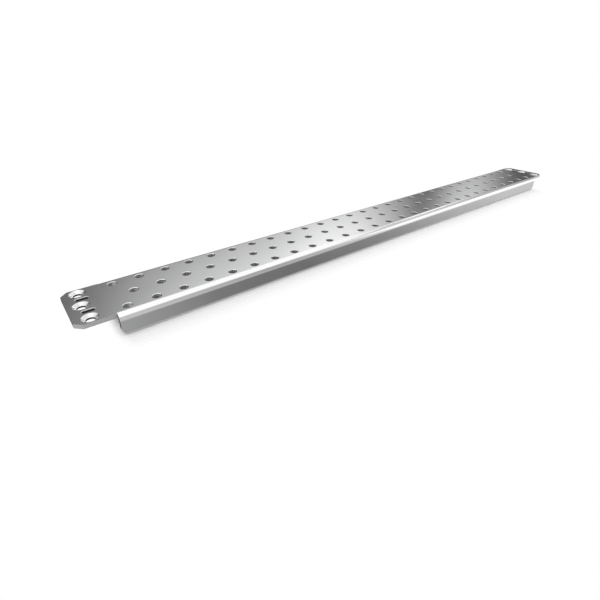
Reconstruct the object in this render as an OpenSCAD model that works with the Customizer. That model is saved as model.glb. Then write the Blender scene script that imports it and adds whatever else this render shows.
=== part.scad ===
// Support rail for a wiring enclosure, folded from one zinc-plated steel sheet.
// X runs along the rail, Y across it, and Z up from the flange feet to the perforated face.

/* [Section] */
// Width over the two flanges
rail_w = 35; // [35:0.5:80]
// Height from the flange feet to the top face
rail_h = 10; // [8:0.5:40]
// Thickness of the sheet
sheet_t = 2; // [1:0.1:2.4]
// Inside radius of the two bends
bend_r = 1; // [0.4:0.1:1.4]

/* [Length] */
// Overall length, over the end tabs
rail_l = 380; // [180:5:900]
// Length of the flat tab at each end, where the flanges are cut away
tab_l = 16; // [13:0.5:20]
// Step in from a flange's outer face to the side of the tab
tab_step = 2; // [1:0.1:2.2]
// Chamfer across each corner of a tab
tab_chamfer = 3; // [0.5:0.1:5]
// Radius of the flanges' lower end corners
flange_corner_r = 3.5; // [0.5:0.1:5]

/* [Hole field] */
// Pitch of the small holes along a row
hole_pitch = 12.5; // [8:0.5:40]
// Distance from the middle row to each outer row, which is set off by half a pitch
row_gap = 11.5; // [10.2:0.1:11.8]
// Diameter through a small hole
hole_d = 3.9; // [2:0.1:4.3]
// Rim diameter of a small hole's shallow countersink
hole_rim_d = 4.4; // [4:0.1:5.4]
// Least distance from the rail's end to a hole of the outer rows
field_margin = 20; // [18:0.5:60]

/* [End fixings] */
// Distance of the two outer fixing holes from the rail's end
fixing_inset = 6.5; // [5:0.1:8]
// Distance of the middle fixing hole from the rail's end
centre_inset = 5.6; // [5:0.1:8]
// Diameter through a fixing hole
fixing_d = 3.8; // [3:0.1:5.5]
// Rim diameter of a fixing hole's countersink
fixing_rim_d = 6.9; // [4:0.1:7.6]
// Included angle of every countersink
countersink_angle = 104; // [86:1:114]
// Distance of the two slots' middles from the rail's end
slot_inset = 7.2; // [6.5:0.1:8.5]
// Length of a slot, end to end
slot_l = 5.4; // [3:0.1:6]
// Width of a slot
slot_w = 2.2; // [1.2:0.1:2.4]
// Width of the chamfer round a slot's rim
slot_rim = 0.3; // [0.1:0.1:0.6]

/* [Hidden] */
$fn = 64;
bend_outer_r = bend_r + sheet_t;
// Half the width of the flat face between the two bends
flat_half = rail_w / 2 - bend_outer_r;
flange_l = rail_l - 2 * tab_l;
tab_w = rail_w - 2 * tab_step;
underside_z = rail_h - sheet_t;
// Holes in an outer row, always an even number; the middle row has one less
outer_count = 2 * floor((rail_l / 2 - field_margin) / hole_pitch + 0.5);
middle_count = outer_count - 1;
rows = [
    [-row_gap, outer_count],
    [0, middle_count],
    [row_gap, outer_count]
];
// How far a cutter runs past the face that it cuts
past = 1;
// How far a flange's profile laps into the flat face
lap = 1;
zinc = [0.58, 0.585, 0.59];

// Plan of the flat sheet: the chamfered blank, less the strips that the bends take up
module flat_outline() {
    corner_x = rail_l / 2;
    corner_y = tab_w / 2;
    difference() {
        polygon([
            [-corner_x, -corner_y + tab_chamfer],
            [-corner_x + tab_chamfer, -corner_y],
            [corner_x - tab_chamfer, -corner_y],
            [corner_x, -corner_y + tab_chamfer],
            [corner_x, corner_y - tab_chamfer],
            [corner_x - tab_chamfer, corner_y],
            [-corner_x + tab_chamfer, corner_y],
            [-corner_x, corner_y - tab_chamfer]
        ]);
        for (side = [-1, 1])
            translate([0, side * (flat_half + rail_w / 2)])
                square([flange_l, rail_w], center = true);
    }
}

// Section of one bend and flange, with the flat face's edge at the left
module fold_section() {
    translate([flat_half - lap, underside_z])
        square([lap, sheet_t]);
    translate([flat_half, rail_h - bend_outer_r])
        intersection() {
            difference() {
                circle(r = bend_outer_r);
                circle(r = bend_r);
            }
            square(bend_outer_r);
        }
    translate([rail_w / 2 - sheet_t, 0])
        square([sheet_t, rail_h - bend_outer_r]);
}

// Side view of a flange, with its lower corners rounded
module flange_outline() {
    half = flange_l / 2;
    translate([-half, flange_corner_r])
        square([flange_l, rail_h - flange_corner_r]);
    translate([-half + flange_corner_r, 0])
        square([flange_l - 2 * flange_corner_r, rail_h]);
    for (end = [-1, 1])
        translate([end * (half - flange_corner_r), flange_corner_r])
            circle(r = flange_corner_r);
}

// The flange on the +Y side
module folded_flange() {
    intersection() {
        rotate([90, 0, 90])
            linear_extrude(height = flange_l, center = true)
                fold_section();
        rotate([90, 0, 0])
            linear_extrude(height = 2 * rail_w, center = true)
                flange_outline();
    }
}

// Cutter for a round hole with a countersink in the top face
module countersunk_hole(through_d, rim_d) {
    slope = tan(countersink_angle / 2);
    sink = (rim_d - through_d) / 2 / slope;
    translate([0, 0, underside_z - past])
        cylinder(d = through_d, h = sheet_t + 2 * past);
    translate([0, 0, rail_h - sink])
        cylinder(d1 = through_d, d2 = rim_d + 2 * past * slope, h = sink + past);
}

// Cutter for a slot along the rail, with a 45 degree chamfer round its rim
module rimmed_slot() {
    straight = slot_l - slot_w;
    flare = slot_w / 2 + slot_rim + past;
    translate([0, 0, underside_z - past])
        linear_extrude(height = sheet_t + 2 * past)
            square([straight, slot_w], center = true);
    rotate([90, 0, 90])
        linear_extrude(height = straight, center = true)
            polygon([
                [-slot_w / 2, rail_h - slot_rim],
                [slot_w / 2, rail_h - slot_rim],
                [flare, rail_h + past],
                [-flare, rail_h + past]
            ]);
    for (end = [-1, 1])
        translate([end * straight / 2, 0, 0]) {
            translate([0, 0, underside_z - past])
                cylinder(d = slot_w, h = sheet_t + 2 * past);
            translate([0, 0, rail_h - slot_rim])
                cylinder(d1 = slot_w, r2 = flare, h = slot_rim + past);
        }
}

// Staggered rows of small holes
module hole_field() {
    for (row = rows)
        for (i = [0 : row[1] - 1])
            translate([(i - (row[1] - 1) / 2) * hole_pitch, row[0], 0])
                countersunk_hole(hole_d, hole_rim_d);
}

// Three fixing holes and two slots in each end tab
module end_fixings() {
    for (end = [-1, 1]) {
        translate([end * (rail_l / 2 - centre_inset), 0, 0])
            countersunk_hole(fixing_d, fixing_rim_d);
        for (side = [-1, 1]) {
            translate([end * (rail_l / 2 - fixing_inset), side * row_gap, 0])
                countersunk_hole(fixing_d, fixing_rim_d);
            translate([end * (rail_l / 2 - slot_inset), side * row_gap / 2, 0])
                rimmed_slot();
        }
    }
}

module support_rail() {
    color(zinc)
        difference() {
            union() {
                translate([0, 0, underside_z])
                    linear_extrude(height = sheet_t)
                        flat_outline();
                folded_flange();
                mirror([0, 1, 0])
                    folded_flange();
            }
            hole_field();
            end_fixings();
        }
}

support_rail();
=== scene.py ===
# %% [markdown]
# # A folded support rail in zinc-plated steel
# The rail is one strip of 2 mm sheet: a flat face full of small holes, a flange bent down along each
# side and a flat tab at each end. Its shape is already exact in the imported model, so this lesson leaves
# the mesh alone and gives it what a drawing lacks: a camera, plated metal with bare cut edges, and a
# small studio for that metal to mirror.

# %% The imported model
import math
import bmesh
import bpy
from mathutils import Matrix, Vector


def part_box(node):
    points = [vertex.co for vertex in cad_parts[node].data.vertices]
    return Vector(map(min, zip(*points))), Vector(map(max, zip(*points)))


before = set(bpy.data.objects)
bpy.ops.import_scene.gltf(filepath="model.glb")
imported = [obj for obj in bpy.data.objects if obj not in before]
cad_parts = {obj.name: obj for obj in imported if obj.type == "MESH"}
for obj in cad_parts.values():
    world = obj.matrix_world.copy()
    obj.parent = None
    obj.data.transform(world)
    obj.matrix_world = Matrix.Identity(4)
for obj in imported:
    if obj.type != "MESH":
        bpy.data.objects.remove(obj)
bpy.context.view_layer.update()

MM = 0.001
scene = bpy.context.scene
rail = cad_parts["support_rail"]
rail_low, rail_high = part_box("support_rail")
print("rail, in mm:", [round(side / MM, 2) for side in rail_high - rail_low])

# %% [markdown]
# ## The camera
# The camera stands low beside the near end and looks along the rail with a fairly wide lens, which
# makes the near tab large and the far one small. A camera that looks along a known direction needs no
# target object: a quaternion turns its own -Z axis onto that direction. The rail sits above the middle
# of the picture without any tilt of its uprights, and a small downward lens shift does the same here.

# %% Camera beside the near end
camera_at = Vector((-202.5, -174.0, 104.5)) * MM
camera_azimuth = math.radians(37.575)
camera_down = math.radians(24.793)
focal_length = 25.06
sensor_width = 36
picture_pixels = 600
shift_pixels = -50
nearest_seen = 5 * MM

sight = Vector((
    math.sin(camera_azimuth) * math.cos(camera_down),
    math.cos(camera_azimuth) * math.cos(camera_down),
    -math.sin(camera_down),
))
camera = bpy.data.objects.new("camera", bpy.data.cameras.new("camera"))
scene.collection.objects.link(camera)
camera.location = camera_at
camera.rotation_mode = "QUATERNION"
camera.rotation_quaternion = sight.to_track_quat("-Z", "Y")
camera.data.lens = focal_length
camera.data.sensor_width = sensor_width
camera.data.shift_y = shift_pixels / picture_pixels
camera.data.clip_start = nearest_seen
scene.camera = camera
print("camera looks along", [round(part, 3) for part in sight])

# %% [markdown]
# ## Plated steel
# Bright zinc is a metal all the way to the eye: no colour of its own beyond a neutral grey, and a satin
# gloss. A picture of steel wrapped round the rail would have to be unwrapped, and it would show seams at
# the holes. Shader nodes need no picture: they work out colour and gloss at every point from where it
# lies and which way it faces. A tree of nodes is a long list of calls in Python, so a few small helpers
# come first. They add a node, fill its inputs with values or links, and do sums.

# %% Helpers for node trees
def add_node(tree, kind, **settings):
    """A new node of that kind, with its properties set."""
    node = tree.nodes.new(kind)
    for name, value in settings.items():
        setattr(node, name, value)
    return node


def connect(slot, source):
    """Links an input to an output socket, or gives it a plain value."""
    if isinstance(source, bpy.types.NodeSocket):
        slot.id_data.links.new(source, slot)
    else:
        slot.default_value = source


def feed(node, **inputs):
    """Connects a node's named inputs; underscores stand for spaces."""
    for name, source in inputs.items():
        connect(node.inputs[name.replace("_", " ")], source)
    return node


def calculate(tree, operation, first, second):
    """One Math node; each operand is an output socket or a number."""
    node = add_node(tree, "ShaderNodeMath", operation=operation)
    connect(node.inputs[0], first)
    connect(node.inputs[1], second)
    return node.outputs["Value"]


def combine(tree, operation, *masks):
    """Several masks in one: MULTIPLY for all of them, MAXIMUM for any of them."""
    result = masks[0]
    for mask in masks[1:]:
        result = calculate(tree, operation, result, mask)
    return result


steel = bpy.data.materials.new("zinc_plated_steel")
steel.use_nodes = True
steel_tree = steel.node_tree
print(steel.name, "starts with", len(steel_tree.nodes), "nodes")

# %% [markdown]
# ## Cut edges
# The punch and the shear leave a rougher skin on every cut edge, with less of the metal's mirror in it.
# The two end faces and the fixing holes are rougher still, and their colour is almost black: painted
# shade. Choosing those faces one by one would be slow, and the imported mesh is best left alone. It isn't
# needed either: a cut edge is where the surface stands upright in the sheet's own thickness, and the
# shader can read that from the normal and from the place on the rail. Each test gives a mask of 0 or 1.
# Masks that are multiplied ask for all of their tests, and the largest of several masks asks for any of
# them.

# %% Where the sheet is cut
sheet = 2 * MM
bend_radius = 3 * MM
sheet_under = rail_high.z - sheet
flat_half = rail_high.y - bend_radius
# How far along the rail, from its middle, the field of small holes and the tabs' fixings reach
field_half = 172 * MM
fixings_half = 186.5 * MM
# A normal's share that points up, at most, on an upright and on a steep face
upright_share = 0.30
steep_share = 0.75
# A normal's share that points along the rail, at least, on an end face
end_share = 0.90


def axis_parts(tree, vector):
    """The X, Y and Z of a vector socket, and of its absolute value."""
    parts = feed(add_node(tree, "ShaderNodeSeparateXYZ"), Vector=vector)
    size = add_node(tree, "ShaderNodeVectorMath", operation="ABSOLUTE")
    connect(size.inputs[0], vector)
    sizes = feed(add_node(tree, "ShaderNodeSeparateXYZ"), Vector=size.outputs["Vector"])
    return parts.outputs, sizes.outputs


def cut_masks(tree):
    """Two masks: 1 on every cut face of the sheet, and 1 on those among them that get painted shade."""
    _, turned = axis_parts(tree, add_node(tree, "ShaderNodeNewGeometry").outputs["True Normal"])
    place, off_centre = axis_parts(tree, add_node(tree, "ShaderNodeTexCoord").outputs["Object"])
    in_sheet = calculate(tree, "GREATER_THAN", place["Z"], sheet_under)
    in_flat = calculate(tree, "LESS_THAN", off_centre["Y"], flat_half)
    past_field = calculate(tree, "GREATER_THAN", off_centre["X"], field_half)
    before_end = calculate(tree, "LESS_THAN", off_centre["X"], fixings_half)
    upright = calculate(tree, "LESS_THAN", turned["Z"], upright_share)
    steep = calculate(tree, "LESS_THAN", turned["Z"], steep_share)
    lengthwise = calculate(tree, "GREATER_THAN", turned["X"], end_share)

    edges = combine(tree, "MULTIPLY", upright, in_sheet)
    in_tab = combine(tree, "MULTIPLY", in_flat, past_field, before_end)
    slot_rims = combine(tree, "MULTIPLY", steep, in_tab)
    fixings = combine(tree, "MULTIPLY", edges, in_tab)
    ends = combine(tree, "MULTIPLY", lengthwise, past_field)
    # The end faces and the fixing holes, whose colour is painted shade
    dark = combine(tree, "MAXIMUM", fixings, ends)
    return combine(tree, "MAXIMUM", edges, slot_rims, dark), dark


cut, dark = cut_masks(steel_tree)
print("flat face between the bends, in mm:", round(2 * flat_half / MM, 1))

# %% [markdown]
# ## Painted highlight on the bends and cones
# The outer bends and the cones of the holes are given a paler colour than the rolled face, and the bends
# an almost white one: a painted highlight. The normal tells these places. Over a bend it turns from
# straight up to level, so two smooth ramps on its upward share fade the mask in below the flat face and
# out above the flange; a hard border would look painted on. The cones all lean at one slope, so there two
# plain limits are enough.

# %% Where the highlight is painted on
# A normal's share that points up where a bend's mask begins and where it is full, first at the flat
# face and then at the flange
bend_begins = 0.9995
bend_full = 0.985
flange_ends = 0.12
flange_full = 0.32
# The same for a cone, as its two limits
cone_least = 0.75
cone_most = 0.90
# How strong the painted highlight is on a cone, where a bend is 1
cone_shine = 0.42


def ramp_mask(tree, value, start, finish):
    """0 where the value is at its start, 1 at its finish, and smooth in between."""
    ramp = add_node(tree, "ShaderNodeMapRange", interpolation_type="SMOOTHSTEP")
    feed(ramp, Value=value, From_Min=start, From_Max=finish)
    return ramp.outputs["Result"]


def painted_highlight_mask(tree):
    """Painted highlight: 1 on the outer bends, and less than that on the cones of the countersinks."""
    facing, _ = axis_parts(tree, add_node(tree, "ShaderNodeNewGeometry").outputs["Normal"])
    _, off_centre = axis_parts(tree, add_node(tree, "ShaderNodeTexCoord").outputs["Object"])
    past_flat = calculate(tree, "GREATER_THAN", off_centre["Y"], flat_half)
    below_flat = ramp_mask(tree, facing["Z"], bend_begins, bend_full)
    above_flange = ramp_mask(tree, facing["Z"], flange_ends, flange_full)
    bends = combine(tree, "MULTIPLY", past_flat, below_flat, above_flange)
    in_flat = calculate(tree, "SUBTRACT", 1, past_flat)
    not_steep = calculate(tree, "GREATER_THAN", facing["Z"], cone_least)
    leaning = calculate(tree, "LESS_THAN", facing["Z"], cone_most)
    cones = combine(tree, "MULTIPLY", in_flat, not_steep, leaning, cone_shine)
    return combine(tree, "MAXIMUM", bends, cones)


painted_highlight = painted_highlight_mask(steel_tree)
print("nodes with all masks:", len(steel_tree.nodes))

# %% [markdown]
# ## Zinc plating
# What keeps metal from looking like plastic is that its gloss is uneven. The plating bath leaves soft
# cloudy patches a centimetre or so across, which one noise texture gives. The sheet was rolled, so faint
# lines run along it: they are a second noise, squeezed across the rail by a Mapping node, and only a
# slight bump. Both read Object coordinates, which are real metres on this rail. The masks then lay
# their own colours over the zinc, one after another: first the painted highlight, then the cut edges,
# and last the painted shade on the end faces and in the fixing holes.

# %% Colours of the zinc and of its edges, with painted highlight and painted shade
cloud_scale = 70
cloud_detail = 3
cloud_roughness = 0.55
cloudy_zinc = (0.55, 0.555, 0.56, 1)
clear_zinc = (0.61, 0.61, 0.615, 1)
# Pale zinc, painted on the bends and cones as a highlight
painted_highlight_zinc = (0.88, 0.88, 0.885, 1)
cut_steel = (0.50, 0.50, 0.505, 1)
# Almost black, painted on the end faces and in the fixing holes as shade
painted_shade_colour = (0.03, 0.03, 0.032, 1)
# The sockets that a Mix node uses for colours, by number because its other sockets share their names
MIX_SHARE = 0
MIX_UNDER = 6
MIX_OVER = 7
MIX_RESULT = 2


def lay_over(tree, under, over, mask):
    """One colour over another, as much as the mask says."""
    mix = add_node(tree, "ShaderNodeMix", data_type="RGBA")
    connect(mix.inputs[MIX_SHARE], mask)
    connect(mix.inputs[MIX_UNDER], under)
    connect(mix.inputs[MIX_OVER], over)
    return mix.outputs[MIX_RESULT]


metal = steel_tree.nodes["Principled BSDF"]
on_rail = add_node(steel_tree, "ShaderNodeTexCoord").outputs["Object"]
cloud_noise = add_node(steel_tree, "ShaderNodeTexNoise")
feed(cloud_noise, Vector=on_rail, Scale=cloud_scale, Detail=cloud_detail, Roughness=cloud_roughness)
clouds = cloud_noise.outputs["Fac"]
tint = lay_over(steel_tree, cloudy_zinc, clear_zinc, clouds)
# First the painted highlight, then the cut edges, and last the painted shade
for mask, colour in ((painted_highlight, painted_highlight_zinc), (cut, cut_steel), (dark, painted_shade_colour)):
    tint = lay_over(steel_tree, tint, colour, mask)
feed(metal, Base_Color=tint)
print("zinc goes from", cloudy_zinc[:3], "to", clear_zinc[:3])

# %% Gloss, less of it where the sheet is cut
satin_least = 0.13
satin_most = 0.20
cut_roughness = 0.42
dark_roughness_added = 0.5
cut_bareness = 0.5

satin = add_node(steel_tree, "ShaderNodeMapRange")
feed(satin, Value=clouds, To_Min=satin_least, To_Max=satin_most)
gloss = add_node(steel_tree, "ShaderNodeMapRange")
feed(gloss, Value=cut, To_Min=satin.outputs["Result"], To_Max=cut_roughness)
dull = calculate(steel_tree, "MULTIPLY", dark, dark_roughness_added)
feed(metal, Roughness=calculate(steel_tree, "ADD", gloss.outputs["Result"], dull))

bare_cut = calculate(steel_tree, "MULTIPLY", cut, cut_bareness)
bare = combine(steel_tree, "MAXIMUM", bare_cut, dark)
feed(metal, Metallic=calculate(steel_tree, "SUBTRACT", 1, bare))
print("roughness of the zinc:", satin_least, "to", satin_most)

# %% Rolling lines
line_scale = (20, 1400, 1400)
line_detail = 2
line_strength = 0.04
line_depth = 0.1 * MM

along_rail = feed(add_node(steel_tree, "ShaderNodeMapping"), Vector=on_rail, Scale=line_scale)
line_noise = add_node(steel_tree, "ShaderNodeTexNoise")
feed(line_noise, Vector=along_rail.outputs["Vector"], Scale=1, Detail=line_detail)
relief = add_node(steel_tree, "ShaderNodeBump")
feed(relief, Height=line_noise.outputs["Fac"], Strength=line_strength, Distance=line_depth)
feed(metal, Normal=relief.outputs["Normal"])

rail.data.materials.clear()
rail.data.materials.append(steel)
print("finish:", rail.data.materials[0].name, "with", len(steel_tree.nodes), "nodes")

# %% [markdown]
# ## The floor
# The rail lies on white paper. Close to it the paper takes the rail's soft shadow; a little way out the
# paper fades into the white surroundings, so no edge or horizon is left in the picture. The fade follows
# the distance from a box a little smaller than the rail, and it is hurried towards the ends, where the
# tabs stand clear of the floor and light gets in under them. A sheet of paper would also hide the rail
# from below. So the paper is clear to any ray that meets its back, and stays clear to that ray after it
# has gone through and has been mirrored by the metal.

# %% How the paper fades
shade_inset = 4 * MM
shade_reach = 18 * MM
flange_end = 174 * MM
end_haste = 2.5
# Taken off the height, so that only the way along the floor counts
above_all = 1


def fade_out(tree):
    """0 on the paper by the rail, and smoothly 1 where the paper has faded away."""
    outwards = add_node(tree, "ShaderNodeTexCoord").outputs["Object"]
    steps = (
        ("ABSOLUTE", None),
        ("SUBTRACT", (flange_end - shade_inset, rail_high.y - shade_inset, above_all)),
        ("MAXIMUM", (0, 0, 0)),
        ("MULTIPLY", (end_haste, 1, 1)),
    )
    for operation, operand in steps:
        step = add_node(tree, "ShaderNodeVectorMath", operation=operation)
        connect(step.inputs[0], outwards)
        if operand:
            connect(step.inputs[1], operand)
        outwards = step.outputs["Vector"]
    distance = add_node(tree, "ShaderNodeVectorMath", operation="LENGTH")
    connect(distance.inputs[0], outwards)
    return ramp_mask(tree, distance.outputs["Value"], 0, shade_reach)


print("paper fades out over", round(shade_reach / MM), "mm")

# %% White floor
floor_tone = 0.75
floor_side = 2
floor_gap = 0.05 * MM


def white_floor():
    """Paper by the rail, clear further out and to rays that come from below."""
    material = bpy.data.materials.new("white_floor")
    material.use_nodes = True
    tree = material.node_tree
    tree.nodes.clear()
    paper = feed(add_node(tree, "ShaderNodeBsdfDiffuse"), Color=(floor_tone, floor_tone, floor_tone, 1))
    clear = add_node(tree, "ShaderNodeBsdfTransparent")
    from_below = add_node(tree, "ShaderNodeNewGeometry").outputs["Backfacing"]
    passes = add_node(tree, "ShaderNodeLightPath").outputs["Transparent Depth"]
    went_through = calculate(tree, "GREATER_THAN", passes, 0)
    unseen = combine(tree, "MAXIMUM", from_below, went_through, fade_out(tree))
    mix = feed(add_node(tree, "ShaderNodeMixShader"), Fac=unseen)
    connect(mix.inputs[1], paper.outputs["BSDF"])
    connect(mix.inputs[2], clear.outputs["BSDF"])
    feed(add_node(tree, "ShaderNodeOutputMaterial"), Surface=mix.outputs["Shader"])
    return material


def flat_card(name, wide, deep, material, place):
    """A flat rectangle, moved into place by a matrix and linked into the scene."""
    shape = bmesh.new()
    bmesh.ops.create_grid(shape, x_segments=1, y_segments=1, size=0.5)
    bmesh.ops.scale(shape, vec=(wide, deep, 1), verts=shape.verts)
    bmesh.ops.transform(shape, matrix=place, verts=shape.verts)
    mesh = bpy.data.meshes.new(name)
    shape.to_mesh(mesh)
    shape.free()
    mesh.materials.append(material)
    card = bpy.data.objects.new(name, mesh)
    scene.collection.objects.link(card)
    return card


floor_at = Matrix.Translation((0, 0, -floor_gap))
floor = flat_card("floor", floor_side, floor_side, white_floor(), floor_at)
print("floor is", [round(side, 2) for side in floor.dimensions])

# %% [markdown]
# ## Cards for the metal to mirror
# Metal shows little but its surroundings, so the studio is most of the look. Lamps alone would give it
# hard spots, and a panorama would be a picture file to carry along, so flat cards stand round the rail.
# Each glows with its own gradient along one axis: where a card is dim the metal turns grey, and where
# it is bright the metal shines. Only mirrored rays see the cards; they neither light the floor nor
# stand in the picture. They are no brighter than the look needs, because the top face mirrors them as
# well when the rail is seen from above or from behind, and it should stay grey there.

# %% Cards with a gradient
mirrored_height = 0.555
half_rise = 0.25


def graded_glow(name, axis, stops, rise=0):
    """A glow that changes along one axis, by pairs of place and brightness, and may grow with height."""
    material = bpy.data.materials.new(name)
    material.use_nodes = True
    tree = material.node_tree
    tree.nodes.clear()
    start, finish = stops[0][0], stops[-1][0]
    in_studio = add_node(tree, "ShaderNodeTexCoord").outputs["Object"]
    place = feed(add_node(tree, "ShaderNodeSeparateXYZ"), Vector=in_studio).outputs
    share = feed(add_node(tree, "ShaderNodeMapRange"), Value=place[axis], From_Min=start, From_Max=finish)
    ramp = feed(add_node(tree, "ShaderNodeValToRGB"), Fac=share.outputs["Result"])
    marks = ramp.color_ramp.elements
    marks.remove(marks[-1])
    for at, level in stops:
        mark = marks[0] if at == start else marks.new((at - start) / (finish - start))
        mark.color = (level, level, level, 1)

    growth = feed(add_node(tree, "ShaderNodeMapRange"), Value=place["Z"])
    feed(growth, From_Min=mirrored_height - half_rise, From_Max=mirrored_height + half_rise)
    feed(growth, To_Min=1 - rise * half_rise, To_Max=1 + rise * half_rise)
    glow = add_node(tree, "ShaderNodeEmission")
    feed(glow, Color=ramp.outputs["Color"], Strength=growth.outputs["Result"])
    feed(add_node(tree, "ShaderNodeOutputMaterial"), Surface=glow.outputs["Emission"])
    return material


def mirror_card(name, wide, deep, glow, place):
    """A glowing card that only mirrored rays can see."""
    card = flat_card(name, wide, deep, glow, place)
    card.visible_camera = False
    card.visible_diffuse = False
    card.visible_shadow = False
    print(name, "spans", [round(side, 3) for side in card.dimensions])


standing = Matrix.Rotation(math.radians(90), 4, "X")
sideways = Matrix.Rotation(math.radians(90), 4, "Y")
growing = [round(mirrored_height + side * half_rise, 3) for side in (-1, 1)]
print("a glow may grow between these heights, in m:", growing)

# %% [markdown]
# ## Panels for the top face
# The top face is flat, so from the camera it mirrors one stretch of the room behind the rail: a dark
# part for the near tab, a bright one for the middle, a dark band and a last bright patch. One tall panel
# carries that as a gradient along X. It also grows brighter with height, which makes the front of the
# face lighter than its back, because the front mirrors the panel higher up. A second panel closes the
# room beyond the far end. It is dark low down, where the end of the top face mirrors it, and lighter
# with height, for the bend.

# %% Tall panel behind the rail
BACK_STOPS = (
    (-1.20, 0.40),
    (-0.80, 0.15),
    (-0.30, 0.10),
    (-0.05, 0.32),
    (0.10, 0.60),
    (0.26, 0.79),
    (0.50, 0.945),
    (0.65, 1.07),
    (0.82, 1.285),
    (1.00, 1.18),
    (1.42, 0.20),
    (1.52, 0.26),
    (1.72, 0.74),
    (1.90, 0.78),
    (2.10, 0.44),
    (2.30, 0.13),
    (2.60, 0.03),
)
back_wide = 4.2
back_high = 0.95
back_rise = 3
back_at = Matrix.Translation((0.9, 1.0, back_high / 2)) @ standing
back_glow = graded_glow("back_glow", "X", BACK_STOPS, back_rise)
mirror_card("back_panel", back_wide, back_high, back_glow, back_at)

# %% Panel beyond the far end, lighter with height
SIDE_STOPS = (
    (0.00, 0.07),
    (0.85, 0.16),
    (1.12, 0.36),
    (1.24, 0.47),
    (1.37, 0.51),
    (1.53, 0.51),
    (1.72, 0.55),
    (1.89, 0.57),
    (2.17, 0.70),
    (2.60, 0.86),
)
side_high = 2.6
side_deep = 1.42
side_at = Matrix.Translation((2.5, 0.29, side_high / 2)) @ sideways
mirror_card("side_panel", side_high, side_deep, graded_glow("side_glow", "Z", SIDE_STOPS), side_at)

# %% [markdown]
# ## Strips for the flange
# The flange stands upright, so from above it mirrors the floor in front of it. A floor with a gradient
# would do that too, but then the gradient itself would be in the picture. So two strips lie just above
# the paper, where only mirrored rays find them: the near one for the flat of the flange, and the outer
# one for the lower part of the bend, which leans back and mirrors the floor further out.

# %% Two low strips in front of the flange
NEAR_STOPS = (
    (-0.200, 0.70),
    (-0.163, 0.50),
    (-0.126, 0.30),
    (-0.075, 0.255),
    (-0.023, 0.37),
    (0.018, 0.50),
    (0.070, 0.70),
    (0.133, 0.87),
    (0.230, 0.92),
)
OUTER_STOPS = (
    (-0.200, 0.90),
    (-0.139, 0.80),
    (-0.114, 0.69),
    (-0.084, 0.64),
    (-0.053, 0.73),
    (0.007, 0.94),
    (0.055, 1.25),
    (0.115, 1.42),
    (0.300, 1.36),
)
strip_height = 0.2 * MM
flange_clearance = 1 * MM
near_long = 0.43
near_deep = 13 * MM
near_middle = 0.015
outer_long = 0.50
outer_deep = 70 * MM
outer_middle = 0.050

near_edge = rail_low.y - flange_clearance
outer_edge = near_edge - near_deep
near_at = Matrix.Translation((near_middle, near_edge - near_deep / 2, strip_height))
outer_at = Matrix.Translation((outer_middle, outer_edge - outer_deep / 2, strip_height))
mirror_card("near_strip", near_long, near_deep, graded_glow("near_glow", "X", NEAR_STOPS), near_at)
mirror_card("outer_strip", outer_long, outer_deep, graded_glow("outer_glow", "X", OUTER_STOPS), outer_at)

# %% [markdown]
# ## Cards for the bend
# The bend turns through a quarter of a circle, so its few millimetres mirror everything from the room
# behind the rail to the floor in front, squeezed into lines. Each line needs a card at the right angle.
# Along the near half a small card overhead gives the broad white line. Along the far half two slanted
# cards in front give it, with a gap between them for the thin grey line inside it. A wide card high in
# front is the grey above that line, and a narrow strip high behind the far end is the thin second line
# next to the top face.

# %% Two slanted cards in front, towards the far end
front_bright = 1.40
front_wide = 0.36
front_gap = 0.07
front_height = 0.128
front_x = 0.582
front_y = -0.367
front_turn = Matrix.Rotation(math.radians(47.2), 4, "Z")
front_slant = Matrix.Rotation(math.radians(-14), 4, "Z")
front_glow = graded_glow("front_glow", "X", ((0, front_bright), (1, front_bright)))
for name, tall, side in (("front_upper", 0.16, 1), ("front_lower", 0.08, -1)):
    middle = front_height + side * (front_gap + tall) / 2
    front_at = Matrix.Translation((front_x, front_y, middle)) @ front_turn @ standing @ front_slant
    mirror_card(name, front_wide, tall, front_glow, front_at)

# %% Small card over the near half
OVER_STOPS = (
    (-0.330, 0.95),
    (-0.240, 1.42),
    (-0.165, 1.42),
    (-0.135, 1.11),
    (0.145, 1.11),
    (0.218, 0.93),
    (0.255, 0.58),
    (0.300, 0.47),
)
over_long = 0.647
over_deep = 0.374
over_tilt = Matrix.Rotation(math.radians(-13.2), 4, "Y")
over_at = Matrix.Translation((-0.015, -0.025, 0.204)) @ over_tilt
mirror_card("over_card", over_long, over_deep, graded_glow("over_glow", "X", OVER_STOPS), over_at)

# %% Card high in front, darker towards the rail
CEILING_STOPS = ((-1.80, 0.84), (-1.15, 0.70), (-0.80, 0.62), (-0.52, 0.55), (-0.45, 0.55))
ceiling_height = 1.30
ceiling_long = 2.9
ceiling_deep = 1.35
ceiling_at = Matrix.Translation((2.35, -1.125, ceiling_height))
ceiling_glow = graded_glow("ceiling_glow", "Y", CEILING_STOPS)
mirror_card("ceiling_card", ceiling_long, ceiling_deep, ceiling_glow, ceiling_at)

# %% Slanted strip high behind the far end
STRIP_STOPS = ((1.50, 1.35), (2.10, 1.64))
strip_long = 0.60
strip_deep = 0.36
strip_turn = Matrix.Rotation(math.radians(36), 4, "Z")
strip_at = Matrix.Translation((1.81, 0.62, ceiling_height)) @ strip_turn
mirror_card("strip_card", strip_long, strip_deep, graded_glow("strip_glow", "X", STRIP_STOPS), strip_at)

# %% [markdown]
# ## Cards for the other sides
# Seen from behind or from an end, the metal would mirror nothing but the white surroundings, and its
# faces would run together. A grey card behind the camera and one beyond the near end give it something
# darker to show there. They are wide and plain, because nothing in them should look like a lamp.

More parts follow.
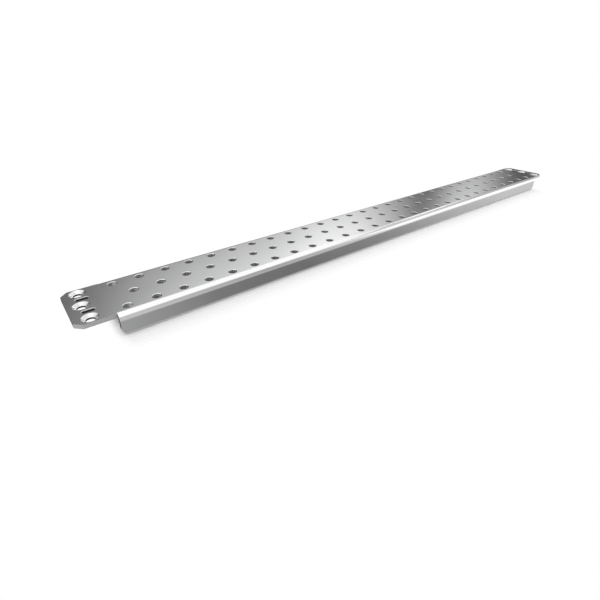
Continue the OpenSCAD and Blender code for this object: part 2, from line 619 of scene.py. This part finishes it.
# %% Grey cards behind the camera and beside it
GREY_STOPS = (
    (-1.00, 0.59),
    (0.15, 0.59),
    (0.35, 0.50),
    (0.55, 0.46),
    (0.80, 0.38),
    (1.05, 0.46),
    (1.50, 0.66),
)
grey_wide = 2.5
grey_high = 2.3
grey_at = Matrix.Translation((0.25, -1.5, 0.75)) @ standing
mirror_card("grey_card", grey_wide, grey_high, graded_glow("grey_glow", "X", GREY_STOPS), grey_at)

LEFT_STOPS = ((0.0, 0.40), (2.4, 0.60))
left_high = 2.4
left_deep = 1.8
left_at = Matrix.Translation((-1.2, 0.1, left_high / 2)) @ sideways
mirror_card("left_card", left_high, left_deep, graded_glow("left_glow", "Z", LEFT_STOPS), left_at)

# %% [markdown]
# ## Light
# Two softboxes light the floor and the bare cut edges, one overhead and one in front. The metal doesn't
# mirror them, since the cards already give it its highlights. The surroundings are plain white to the
# camera and to mirrored rays, and give half of that as light, so that nothing is overexposed.

# %% Softboxes
def softbox(name, wide, tall, level, at, towards):
    """A lamp with a flat face, as bright as level times white, that metal doesn't mirror."""
    lamp = bpy.data.lights.new(name, "AREA")
    lamp.shape = "RECTANGLE"
    lamp.size = wide
    lamp.size_y = tall
    lamp.energy = level * math.pi * wide * tall
    holder = bpy.data.objects.new(name, lamp)
    scene.collection.objects.link(holder)
    holder.location = at
    holder.rotation_mode = "QUATERNION"
    holder.rotation_quaternion = (Vector(towards) - Vector(at)).to_track_quat("-Z", "Y")
    holder.visible_glossy = False
    print(name, "gives", round(lamp.energy, 2), "W")


overhead_at = (0.05, -0.05, 1.30)
overhead_aim = (0.05, -0.05, 0)
softbox("overhead_softbox", wide=2.1, tall=1.2, level=1.8, at=overhead_at, towards=overhead_aim)
front_lamp_at = (front_x, front_y, 0.165)
front_lamp_aim = (0.182, 0.003, 0.065)
softbox("front_softbox", wide=0.355, tall=0.24, level=1.5, at=front_lamp_at, towards=front_lamp_aim)

# %% White surroundings
seen_level = 1
light_level = 0.5


def white_surroundings():
    """A world that is white where it is seen or mirrored, and gives half of that as light."""
    world = bpy.data.worlds.new("white_surroundings")
    world.use_nodes = True
    tree = world.node_tree
    rays = add_node(tree, "ShaderNodeLightPath").outputs
    mirrored = combine(tree, "MAXIMUM", rays["Is Glossy Ray"], rays["Is Transmission Ray"])
    seen = combine(tree, "MAXIMUM", rays["Is Camera Ray"], mirrored)
    level = feed(add_node(tree, "ShaderNodeMapRange"), Value=seen, To_Min=light_level, To_Max=seen_level)
    feed(tree.nodes["Background"], Color=(1, 1, 1, 1), Strength=level.outputs["Result"])
    return world


scene.world = white_surroundings()
scene.view_settings.view_transform = "Standard"
print("world:", scene.world.name)
